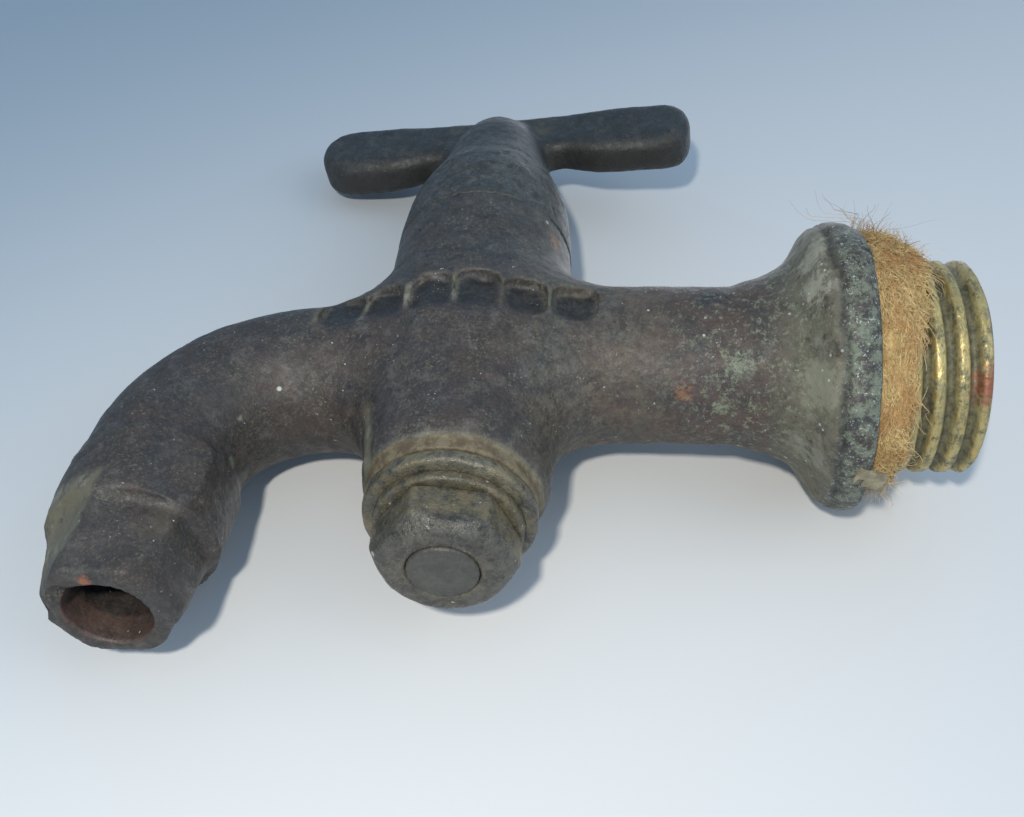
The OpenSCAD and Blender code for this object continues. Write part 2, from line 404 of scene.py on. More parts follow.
def thread_field(p):
    """The spigot with its worn thread, a true helix."""
    x, y, z = p.T
    about_x = np.hypot(y, z)
    turn = np.arctan2(z, y) / (2 * np.pi)
    phase = ((x - THREAD_END) / THREAD_PITCH - turn - THREAD_START) % 1
    crest = 1 - ramp(np.abs(phase - 0.5), 0.16, 0.42)
    height = THREAD_R - THREAD_ROOT_R + np.minimum(0.1 * noise(p, 2.5, SEED + 1) - 0.08, 0)
    lead_in = 0.35 + 0.65 * ramp(x, THREAD_END - 0.05, THREAD_END - 0.6)
    radius = THREAD_ROOT_R + height * crest * lead_in
    ends = np.maximum(x - THREAD_END, FLANGE_X - 3 - x)
    return smooth_both((about_x - radius) * THREAD_STEEPNESS, ends, 0.6)


def bores_field(p):
    x, y, z = p.T
    about_x = np.hypot(y, z)
    inlet = np.maximum(about_x - INLET_BORE_R, 11.5 - x)
    port = np.maximum(about_x - PORT_R, -x)
    spout = np.maximum(spout_line(p)[0] - SPOUT_BORE_R, x - 1)
    mouth = np.maximum(np.hypot(x - OUTLET_X, y) - OUTLET_BORE_R, z + 15.8)
    taper = np.hypot(x, y) - (PLUG_R + PLUG_CLEAR + PLUG_SLOPE * z)
    return np.min([inlet, port, spout, mouth, taper], axis=0)


POCKET_PITCH = 4.6
POCKET_COUNT = 6
POCKET_SHIFT = -0.9
POCKET_HALF_W = 2.15
POCKET_HALF_H = 2.45
POCKET_CORNER = 1.6
POCKET_DEPTH = 0.95
ROW_Z = -0.6
ROW_SAG = 0.005
SIDE_Y = 5.5


def pockets_field(p):
    """Distance from a row of shallow pockets with round corners along each side of the body."""
    row = p[:, 0] - POCKET_SHIFT
    number = np.clip(np.round(row / POCKET_PITCH - 0.5), -POCKET_COUNT / 2, POCKET_COUNT / 2 - 1)
    across = np.abs(row - (number + 0.5) * POCKET_PITCH + 0.15 * np.sin(number * 2.6))
    half_w = POCKET_HALF_W + 0.08 * np.sin(number * 4 + 1)
    half_h = POCKET_HALF_H + 0.25 * np.cos(number * 2.1)
    out_x = across - half_w + POCKET_CORNER
    out_z = np.abs(p[:, 2] - ROW_Z - ROW_SAG * row * row) - half_h + POCKET_CORNER
    outside = np.hypot(np.maximum(out_x, 0), np.maximum(out_z, 0))
    return outside + np.minimum(np.maximum(out_x, out_z), 0) - POCKET_CORNER


def body_field(p):
    z = p[:, 2]
    solid = smooth_union(solid_field(p), thread_field(p), 0.4)
    depth = (POCKET_DEPTH + 0.4 * noise(p, 1.8, SEED + 5)) * ramp(z, -4.5, 0)
    sides = np.maximum(pockets_field(p), SIDE_Y - np.abs(p[:, 1]))
    soft_edge = 0.3 + 0.6 * ramp(z, 0, -2.5)
    sunk = smooth_both(solid, -smooth_both(sides, -(solid + depth), 0.5), soft_edge)
    return smooth_cut(sunk, bores_field(p), 0.25)


def body_detail(p):
    """Dents, casting grain and corrosion, kept off the faces that fit something."""
    x, y, z = p.T
    about_x = np.hypot(y, z)
    outside = ramp(np.hypot(x, y), 7.3, 8.2) * np.where((x > 11) & (about_x < 7), 0, 1)
    outside *= ramp(FLANGE_X + 0.2 - x, 0, 0.6) * ramp(np.hypot(x - OUTLET_X, y), 4.6, 5.2)
    lumps = 0.13 * layered(p, 7, SEED, 2) + 0.05 * layered(p, 1.6, SEED + 9, 2)
    pitted = ramp(z, 1.5, 4) * ramp(x, 8, 3) * ramp(-y, 4, 7) + 0.35 * ramp(z, 1, -3)
    pits = -0.2 * ramp(layered(p, 1.1, SEED + 20, 3), 0.15, 0.8) * pitted
    chipped = -0.6 * ramp(layered(p, 2.6, SEED + 31, 2), 0.2, 0.8) * ramp(MOUTH_Z + 1.8 - z, 0, 1.4)
    chipped *= ramp(OUTLET_X + 1 - x, 0, 3)
    edge = -0.25 * np.maximum(noise(p, 4, SEED + 40), 0) * ramp(about_x, FLANGE_R - 0.8, FLANGE_R - 0.1)
    edge -= 0.3 * rim_groove(p) * ramp(noise(p, 5, SEED + 46), -0.6, 0.2)
    return outside * (lumps + pits + edge) + chipped


def pocket_masks(p):
    """(pale dirt and painted highlight on the ribs, a painted highlight along the pockets' upper edges, the
    dark inside the pockets)
    """
    x, y, z = p.T
    row = x - POCKET_SHIFT
    on_side = (np.abs(y) > SIDE_Y) & (np.abs(row) < POCKET_PITCH * POCKET_COUNT / 2 + 0.9)
    pocket = pockets_field(p)
    to_rib = np.abs((row + POCKET_PITCH / 2) % POCKET_PITCH - POCKET_PITCH / 2)
    # Pale dirt and painted highlight on the ribs between the pockets.
    rib = ramp(0.5 - to_rib, 0, 0.4) * ramp(2.3 - np.abs(z - ROW_Z), 0, 0.8) * on_side
    rib *= 0.55 + 0.45 * noise(p, 4, SEED + 48)
    # Painted highlight: a thin pale line along each pocket's upper edge.
    brow = 0.3 * np.exp(-((pocket - 0.25) / 0.2) ** 2) * ramp(z, 1.2, 2) * on_side
    inside = ramp(-pocket, 0.1, 0.6) * ramp(z, -4.5, -1.5) * on_side
    return np.maximum(rib, brow), inside


CRUST_HALF_ANGLE = math.radians(31)


def boss_crust(p):
    """1 on the boss's side that faces away from the barrel, between its top and the mouth."""
    x, y, z = p.T
    off_side = np.arctan2(y, x - OUTLET_X) - snout_turn(z) + math.pi / 3
    off_side = (off_side + math.pi) % (2 * math.pi) - math.pi
    side = ramp(CRUST_HALF_ANGLE - np.abs(off_side), 0, 0.08) * ramp(OUTLET_X + 4 - x, 0, 3)
    return side * ramp(-z, 22, 23.5) * ramp(-z, 32, 29)


FILLET_CRUST_AND_HIGHLIGHT = ((-9.4, -5.0, -12.5), (-8.4, -4.2, -18))


def body_masks(p, _):
    """Red: pale deposits, and painted highlights on the barrel's lip, the fillet and the pocket ribs.
    Green: bare brass. Blue: red-brown film. Alpha: dark dirt in the pockets and the groove behind the rim,
    and painted shade deep in the mouth's bore and inside the inlet bore.
    """
    x, y, z = p.T
    about_z = np.hypot(x, y)
    about_x = np.hypot(y, z)
    near_side = np.stack([x, -np.abs(y), z], 1)
    # Pale deposits and a painted highlight along the fillet between the spout and the barrel.
    fillet = 0.8 * ramp(2.1 - to_line(near_side, *FILLET_CRUST_AND_HIGHLIGHT), 0, 1.2)
    # Painted highlight: a thin pale line round the barrel's lip.
    lip = 0.6 * np.exp(-((z - LIP_Z - 0.1) / 0.2) ** 2) * ramp(12 - about_z, 0, 1)
    flare = ramp(x, FLANGE_X - 10, FLANGE_X - 6) * ramp(FLANGE_X - 3.1 - x, 0, 0.6)
    rib, in_pocket = pocket_masks(p)
    deposit_and_highlight = np.max([fillet, lip, 0.6 * flare, 0.75 * rib, 0.75 * boss_crust(p)], axis=0)
    bare = ramp(x, FLANGE_X + 0.1, FLANGE_X + 0.5) * ramp(about_x, THREAD_ROOT_R - 0.2, THREAD_R - 0.25)
    in_mouth = ramp(OUTLET_BORE_R + 0.35 - np.hypot(x - OUTLET_X, y), 0, 0.3) * (z < -10)
    on_neck = ramp(x, 6, 16) * ramp(FLANGE_X - 5 - x, 0, 5)
    film = np.max([on_neck, 0.35 * ramp(-x, 14, 22), in_mouth], axis=0)
    # Painted shade: dark deep in the mouth's bore, from about 3 mm inside.
    throat_shade = in_mouth * ramp(z, MOUTH_Z + 2.6, MOUTH_Z + 3.2)
    # Painted shade: dark inside the inlet bore, fading out towards its open end.
    inlet_bore_shade = ramp(INLET_BORE_R + 0.4 - about_x, 0, 0.3) * (x > 9) * ramp(FLANGE_X + 6 - x, 0, 6)
    dark = np.max([in_pocket, throat_shade, inlet_bore_shade, 0.9 * rim_groove(p)], axis=0)
    return np.stack([deposit_and_highlight, bare, film, dark], 1)


# ---- the key's field

BELL = Profile([
    *knots_from(BARREL_TOP, (0, 9.8), (3, 9.65), (7, 9.35), (10, 8.8), (13, 7.9), (16, 7.1), (22, 5.8)),
    *knots_from(HANDLE_TOP, (-4, 4.3), (-2.5, 3.0), (-1.2, 2.0), (2, 0.5)),
], 3.0)
LOBE_R = 5.1
LOBE_X = key_high[0] - LOBE_R
LOBE_Z = HANDLE_TOP - LOBE_R
WAIST_RISE = 2.0
LOBE_BULGE = 0.4
SQUARENESS = 0.25


def turned(p):
    """x and y in the key's own frame, from its stored turn."""
    x, y, _ = p.T
    across = x * math.cos(KEY_TURN) + y * math.sin(KEY_TURN)
    deep = y * math.cos(KEY_TURN) - x * math.sin(KEY_TURN)
    return across, deep


def handle_field(x, y, z):
    """The T-bar: a round left lobe, a squarer right one, and a waist on each side of the bell."""
    reach = np.abs(x) - LOBE_X + ramp(-x, 0, 6)
    height = np.abs(z - LOBE_Z)
    squared = np.maximum(height, reach) - LOBE_R
    part = SQUARENESS * ramp(x, 5, 12)
    lobe = (np.hypot(np.maximum(reach, 0), height) - LOBE_R) * (1 - part) + squared * part
    waist = WAIST_RISE * np.exp(-((np.abs(x) - 8) / 4) ** 2)
    lower = (HANDLE_TOP - 2 * LOBE_R - 0.3 + waist) - z
    outline = smooth_both(np.where(reach > 0, lobe, height - LOBE_R), lower, 1.5)
    half_t = HANDLE_T / 2 + LOBE_BULGE * ramp(np.abs(x), 7, 15) - 0.3 * ramp(height, 2.5, 5)
    return smooth_both(outline, np.abs(y) - half_t, 1.8)


def key_field(p):
    x, y = turned(p)
    z = p[:, 2]
    rho = np.hypot(x, y)
    bell_ends = np.maximum(z - HANDLE_TOP + 1, BARREL_TOP + 0.05 - z)
    bell = smooth_both(BELL.distance(z, rho), bell_ends, 0.04)
    plug_ends = np.maximum(z - BARREL_TOP - 1, BARREL_BOTTOM + 0.6 - z)
    plug = np.maximum(rho - PLUG_R - PLUG_SLOPE * z, plug_ends)
    tail = smooth_both(rho - TAIL_R, np.maximum(nut_low[2] - 0.2 - z, z), 0.25)
    square = np.max([np.abs(x) - SQUARE_W / 2, np.abs(y) - SQUARE_W / 2, washer_low[2] - z, z + 18], axis=0)
    outside = smooth_union(bell, handle_field(x, y, z), 1.3)
    whole = np.min([outside, plug, tail, square], axis=0)
    return smooth_cut(whole, np.hypot(y, z) - PORT_R, 0.2)


def key_detail(p):
    z = p[:, 2]
    outside = ramp(z, BARREL_TOP + 0.3, BARREL_TOP + 1.5)
    lumps = 0.12 * layered(p, 8, SEED + 50, 2) + 0.045 * layered(p, 1.4, SEED + 55, 2)
    pits = -0.14 * ramp(layered(p, 1.1, SEED + 20, 3), 0.15, 0.8) * ramp(HANDLE_TOP - 12 - z, 0, 8)
    return outside * np.minimum(lumps + pits, 0.08)


def key_masks(p, normals):
    """Red: painted highlight in the crooks beside the bell. Green: bare metal inside the barrel. Blue:
    painted shade on the handle's undersides. Alpha: the seam.
    """
    x, y, z = p.T
    seam = ramp(BARREL_TOP + 0.5 - z, 0, 0.4) * ramp(z, BARREL_TOP - 1, BARREL_TOP)
    hidden = ramp(BARREL_TOP - z, 0, 0.5) * ramp(z, BARREL_BOTTOM - 0.5, BARREL_BOTTOM)
    # Painted shade: the handle's downward faces, darkened towards peat brown.
    under = ramp(-normals[:, 2], 0.4, 0.8) * ramp(z, HANDLE_TOP - 12, HANDLE_TOP - 10)
    beside_bell = np.exp(-((np.abs(x) - 5.5) / 1.2) ** 2) * (np.abs(y) < 3.2)
    # Painted highlight: an olive streak in the crooks beside the bell.
    crook = beside_bell * ramp(z, HANDLE_TOP - 7, HANDLE_TOP - 5)
    return np.stack([0.8 * crook, hidden, under, seam], 1)


# ---- washer, ring and nut

def plate_field(low, high, radius, ease):
    def field(p):
        x, y, z = p.T
        return smooth_both(np.hypot(x, y) - radius, np.maximum(z - high, low - z), ease)
    return field


washer_plate = plate_field(washer_low[2], washer_high[2], washer_high[0] - 0.02, 0.35)
ring_plate = plate_field(ring_low[2], ring_high[2], ring_high[0] - 0.02, 0.35)


def washer_field(p):
    x, y = turned(p)
    hole = np.maximum(np.abs(x), np.abs(y)) - SQUARE_W / 2 - 0.05
    return smooth_cut(washer_plate(p), hole, 0.1)


def ring_field(p):
    return smooth_cut(ring_plate(p), np.hypot(p[:, 0], p[:, 1]) - TAIL_R - 0.05, 0.1)


NUT_FLAT = 5.8
NUT_TURN = math.radians(30 + 13)
NUT = Profile([
    *knots_from(nut_low[2], (-1, 4.5), (0.1, 5.2), (0.9, 6.0), (1.5, 6.5), (1.9, 6.65)),
    *knots_from(nut_high[2], (-0.8, 6.7), (1, 6.3)),
], 0.3)


def nut_field(p):
    x, y = turned(p)
    z = p[:, 2]
    rho = np.hypot(x, y)
    flats = hexagon(x, y, NUT_FLAT, NUT_TURN)
    ends = np.maximum(z - nut_high[2], nut_low[2] - z)
    shape = smooth_both(smooth_both(flats, NUT.distance(z, rho), 0.3), ends, 0.4)
    return smooth_cut(shape, rho - TAIL_R - 0.05, 0.15)


def worn_detail(p):
    bore = ramp(np.hypot(p[:, 0], p[:, 1]), TAIL_R + 0.6, TAIL_R + 1.6)
    return bore * np.minimum(0.09 * layered(p, 2.6, SEED + 60, 3), 0.02)


def red_mask(red):
    """Four masks of which only the first says something."""
    return np.stack([red, 0 * red, 0 * red, 0 * red], 1)


def worn_masks(p, _):
    """Red: dirt, from the hole outwards."""
    rho = np.hypot(p[:, 0], p[:, 1])
    return red_mask(ramp(rho, 3, 5) * (0.55 + 0.45 * noise(p, 2.4, SEED + 61)))


def nut_masks(p, _):
    """Red: dirt, on the nut's sides and in the seam round the tail."""
    side = ramp(p[:, 2], nut_low[2] + 1.1, nut_low[2] + 1.9)
    seam = np.exp(-((np.hypot(p[:, 0], p[:, 1]) - TAIL_R - 0.1) / 0.25) ** 2)
    return red_mask(np.maximum(0.85 * side, 0.6 * seam))


# ---- make the metal pieces

STEP = 0.36
SMALL_STEP = 0.24

tap_body = mesh_of("tap_body_cast", body_field, body_low, body_high, STEP, body_detail, body_masks)
key = mesh_of("key_cast", key_field, key_low, key_high, STEP, key_detail, key_masks)
worn_plate = (SMALL_STEP, worn_detail, worn_masks)
washer = mesh_of("tail_washer_worn", washer_field, washer_low, washer_high, *worn_plate)
ring = mesh_of("nut_ring_worn", ring_field, ring_low, ring_high, *worn_plate)
nut = mesh_of("tail_nut_worn", nut_field, nut_low, nut_high, SMALL_STEP, worn_detail, nut_masks)

for piece, node, body, slot in (
    (tap_body, "tap_body", "body", "body_metal"),
    (key, "key", "key", "key_metal"),
    (washer, "tail_washer", "key", "washer_metal"),
    (ring, "nut_ring", "key", "ring_metal"),
    (nut, "tail_nut", "key", "nut_metal"),
):
    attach(piece, body)
    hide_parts(node)


# ---- hemp

HEMP_TOP = FLANGE_TOP
HEMP_FRONT = np.array([0, -0.68, -0.73])
HEMP_R = hemp_high[1]
random = np.random.default_rng(SEED)


def round_hemp(p):
    """(distance past the flange, angle round from the ragged top, radius)"""
    top, front = p @ HEMP_TOP, p @ HEMP_FRONT
    return p[:, 0] - FLANGE_X, np.arctan2(front, top), np.hypot(top, front)


def from_round(x, angle, radius):
    spoke = np.cos(angle)[..., None] * HEMP_TOP + np.sin(angle)[..., None] * HEMP_FRONT
    return spoke * radius[..., None] + np.stack([x + FLANGE_X, 0 * x, 0 * x], -1)


def hemp_width(angle):
    """The wrap is widest at the top and ragged at its free edge."""
    ragged = 0.25 * np.sin(5 * angle) + 0.25 * np.sin(11 * angle + 1)
    return 3.2 + 1.9 * ramp(np.cos(angle), 0.05, 0.5) + ragged


def hemp_radius(x, angle):
    lumps = 0.25 * np.sin(3 * angle + 0.8 * x) + 0.2 * np.sin(7 * angle - 1.3 * x + 2)
    return HEMP_R - 0.4 + lumps + 0.5 * np.cos(angle) - 0.035 * np.maximum(x - 1, 0) ** 2


def hemp_field(p):
    x, angle, radius = round_hemp(p)
    ring = smooth_both(radius - hemp_radius(x, angle), np.maximum(x - hemp_width(angle), -0.05 - x), 1.4)
    return smooth_cut(ring, radius - THREAD_ROOT_R, 0.2)


def along_strands(p):
    """Places in a frame squeezed along the laid strands, so that its noise comes out as streaks."""
    x, angle, radius = round_hemp(p)
    return np.stack([x + 0.35 * np.sin(3 * angle), radius, angle * HEMP_R / 5], 1)


def hemp_detail(p):
    laid = along_strands(p)
    return 0.6 * noise(laid, 0.9, SEED + 70) + 0.3 * noise(p, 0.5, SEED + 71) - 0.2


def hemp_masks(p, _):
    """Red: from dark strands to pale ones."""
    laid = along_strands(p)
    return red_mask(0.5 + 0.35 * noise(laid, 0.75, SEED + 70) + 0.2 * noise(laid, 0.35, SEED + 71))


def tubes(name, paths, thickness):
    """One mesh of thin three-sided fibres; each path is a row of points."""
    count, length, _ = paths.shape
    along = np.gradient(paths, axis=1)
    along /= np.linalg.norm(along, axis=2)[..., None] + 1e-9
    side = np.cross(along, [0.31, 0.55, 0.77])
    side /= np.linalg.norm(side, axis=2)[..., None] + 1e-9
    other = np.cross(along, side)
    taper = np.linspace(1, 0.35, length)[None, :, None] * thickness[:, None, None]
    turns = np.arange(3) * 2 * np.pi / 3
    ring = [paths + taper * (math.cos(t) * side + math.sin(t) * other) for t in turns]
    points = np.stack(ring, 2).reshape(-1, 3)
    base = (np.arange(count)[:, None] * length + np.arange(length - 1)[None]) * 3
    faces = []
    for t in range(3):
        u = (t + 1) % 3
        faces.append(np.stack([base + t, base + u, base + u + 3, base + t + 3], -1).reshape(-1, 4))
    ends = np.arange(count) * length * 3
    mesh = bpy.data.meshes.new(name)
    caps = [[e + 2, e + 1, e] for e in ends] + [[e, e + 1, e + 2] for e in ends + (length - 1) * 3]
    mesh.from_pydata((points * MM + KEY_AXIS).tolist(), [], np.concatenate(faces).tolist() + caps)
    paint(mesh, red_mask(np.repeat(random.uniform(0.25, 1, count), length * 3)))
    return placed(name, mesh)


def fibres(name, count, angles, starts, length, lift, lean, thickness, steps=10):
    """Curly fibres that start on the wrap and run round it, lifting and leaning towards their tips.

    They stay clear of the flange, and only those that rise past its rim may lie back over it.
    """
    part = np.linspace(0, 1, steps)[None]
    angle0 = random.uniform(*angles, count)[:, None]
    x0 = (random.uniform(*starts, count)[:, None]) * hemp_width(angle0)
    size = random.uniform(*length, count)[:, None]
    way = random.choice([-1, 1, 1, 1], count)[:, None]
    rise = random.uniform(*lift, count)[:, None]
    swirl = 0.25 * np.sin(5 * angle0 + 0.9 * x0 + 1) + 0.15 * np.sin(11 * angle0 - 1.4 * x0)
    tilt = random.normal(lean[0], lean[1], count)[:, None] + swirl
    phase = random.uniform(0, 6.3, (count, 1))
    curl = random.uniform(0.1, 0.45, (count, 1))
    waves = random.uniform(3, 12, (count, 1))
    x = x0 + tilt * size * part + curl * np.sin(waves * part + phase)
    flat = np.sqrt(np.clip(1 - rise**2 - np.minimum(tilt**2, 0.7), 0.05, 1))
    angle = angle0 + way * flat * size * part / HEMP_R + curl / HEMP_R * np.cos(9 * part + phase)
    lifted = rise * size * part**1.4
    past_rim = np.maximum(hemp_radius(x, angle) + lifted - FLANGE_R - 0.2, 0)
    x = np.maximum(x, 0.1 - 20 * past_rim)
    radius = hemp_radius(x0, angle) + 0.05 + lifted + 0.6 * curl * np.sin(11 * part + phase)
    return tubes(name, from_round(x, angle, radius), random.uniform(*thickness, count))


ALL_ROUND = (0, 6.28)
THIN = (0.02, 0.05)

hemp_core = mesh_of(
    "hemp_core", hemp_field,
    (FLANGE_X - 0.2, -HEMP_R - 1, -HEMP_R - 1), (FLANGE_X + 7, HEMP_R + 1, HEMP_R + 1),
    0.3, hemp_detail, hemp_masks)
hemp_laid = fibres(
    "hemp_laid_fibres", 5600, ALL_ROUND, (0, 0.93), (1.5, 5), (-0.06, 0.07), (0, 0.1), (0.02, 0.055))
hemp_tuft = fibres(
    "hemp_tuft", 600, (-0.7, 0.75), (0.05, 0.9), (1.5, 4), (0.05, 0.5), (0, 0.25), THIN)
hemp_beard = fibres(
    "hemp_beard", 320, (2.5, 3.4), (0.1, 0.9), (1.5, 4), (0.1, 0.7), (-0.2, 0.4), THIN)
hemp_wisps = fibres(
    "hemp_wisps", 60, (-0.35, 0.4), (0, 0.6), (4, 8.5), (0.25, 0.6), (-0.35, 0.3), (0.02, 0.04), 16)
hemp_edge = fibres(
    "hemp_edge_fibres", 420, ALL_ROUND, (0.75, 0.95), (0.8, 2), (-0.15, 0.1), (0, 0.25), THIN)

CHIP = np.array([FLANGE_X - 0.1, 1.6, -13.9])
CHIP_OUT = np.array([0.1, 0.11, -0.99])
CHIP_LONG = np.array([0.95, 0.25, 0.12])


def chip_field(p):
    """A notched flake of wood caught at the wrap's lower edge."""
    across = np.cross(CHIP_OUT, CHIP_LONG)
    out, long, wide = ((p - CHIP) @ direction for direction in (CHIP_OUT, CHIP_LONG, across))
    flake = np.max([np.abs(out) - 0.28, np.abs(long) - 1.5, np.abs(wide + 0.2 * long) - 1.0], axis=0)
    notch = np.maximum(np.abs(long + 0.9) - 0.35, wide)
    return smooth_cut(flake, notch, 0.1)


def chip_masks(p, _):
    """Red: from dark grain to pale. Green: all wood."""
    grain = 0.5 + 0.5 * noise(p, 0.5, SEED + 75)
    return np.stack([grain, 0 * grain + 1, 0 * grain, 0 * grain], 1)


hemp_chip = mesh_of("hemp_chip", chip_field, CHIP - 2.2, CHIP + 2.2, 0.14, None, chip_masks)
hemp_pieces = [hemp_core, hemp_laid, hemp_tuft, hemp_beard, hemp_wisps, hemp_edge, hemp_chip]
for piece in hemp_pieces:
    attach(piece, "body")
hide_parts("hemp_wrap")


# ---- camera

CAMERA_AZIMUTH = math.radians(6.6)
CAMERA_ELEVATION = math.radians(-46.8)
CAMERA_ROLL = math.radians(5.3)
CAMERA_DISTANCE = 118.3
CAMERA_SHIFT = (-4.2, 4.5)
LENS = 40.78

back = Vector((
    math.sin(CAMERA_AZIMUTH) * math.cos(CAMERA_ELEVATION),
    -math.cos(CAMERA_AZIMUTH) * math.cos(CAMERA_ELEVATION),
    math.sin(CAMERA_ELEVATION),
))
level = Vector((math.cos(CAMERA_AZIMUTH), math.sin(CAMERA_AZIMUTH), 0))
raised = back.cross(level)
right = math.cos(CAMERA_ROLL) * level + math.sin(CAMERA_ROLL) * raised
up = back.cross(right)
camera = placed("camera", bpy.data.cameras.new("camera"))
bpy.context.scene.camera = camera
camera.data.lens = LENS
camera.data.clip_start = 0.005
eye = CAMERA_DISTANCE * back - CAMERA_SHIFT[0] * right - CAMERA_SHIFT[1] * up
place = Matrix((right, up, back)).transposed().to_4x4()
place.translation = Vector(KEY_AXIS) + eye * MM
camera.matrix_world = place


# ---- table and light

TABLE_NORMAL = Vector((0.108, -0.992, -0.071)).normalized()
HALF_TABLE = 0.9

side = TABLE_NORMAL.orthogonal().normalized()
other = TABLE_NORMAL.cross(side)
lowest = min(v.co.dot(TABLE_NORMAL) for o in (tap_body, key) for v in o.data.vertices)
middle = Vector(KEY_AXIS)
middle += (lowest - middle.dot(TABLE_NORMAL)) * TABLE_NORMAL
signs = ((-1, -1), (1, -1), (1, 1), (-1, 1))
corners = [middle + HALF_TABLE * (a * side + b * other) for a, b in signs]
table_mesh = bpy.data.meshes.new("table")
table_mesh.from_pydata(corners, [], [(0, 1, 2, 3)])
table = placed("table", table_mesh)
table.visible_shadow = False


def area_light(name, towards, distance, size, power, colour):
    data = bpy.data.lights.new(name, "AREA")
    data.size = size
    data.energy = power
    data.color = colour
    light = placed(name, data)
    light.location = Vector(KEY_AXIS) + towards.normalized() * distance
    light.rotation_mode = "QUATERNION"
    light.rotation_quaternion = towards.to_track_quat("Z", "Y")


area_light("window", -0.11 * right + 0.11 * up + back, 0.2, 0.01, 0.32, (1.0, 0.95, 0.85))
area_light("fill", 0.9 * right + 0.35 * up + 0.6 * back, 0.6, 0.5, 0.9, (0.9, 0.95, 1.0))
area_light("behind", 0.3 * right + 0.4 * up - 1.0 * back, 0.6, 0.4, 3.0, (0.95, 0.97, 1.0))

ROOM_COLOUR = (0.48, 0.72, 1.02, 1)
ROOM_STRENGTH = 0.6

world = bpy.data.worlds.new("room")
bpy.context.scene.world = world
world.use_nodes = True
room = world.node_tree.nodes["Background"]
room.inputs["Color"].default_value = ROOM_COLOUR
room.inputs["Strength"].default_value = ROOM_STRENGTH
bpy.context.scene.view_settings.view_transform = "Standard"


# ---- materials

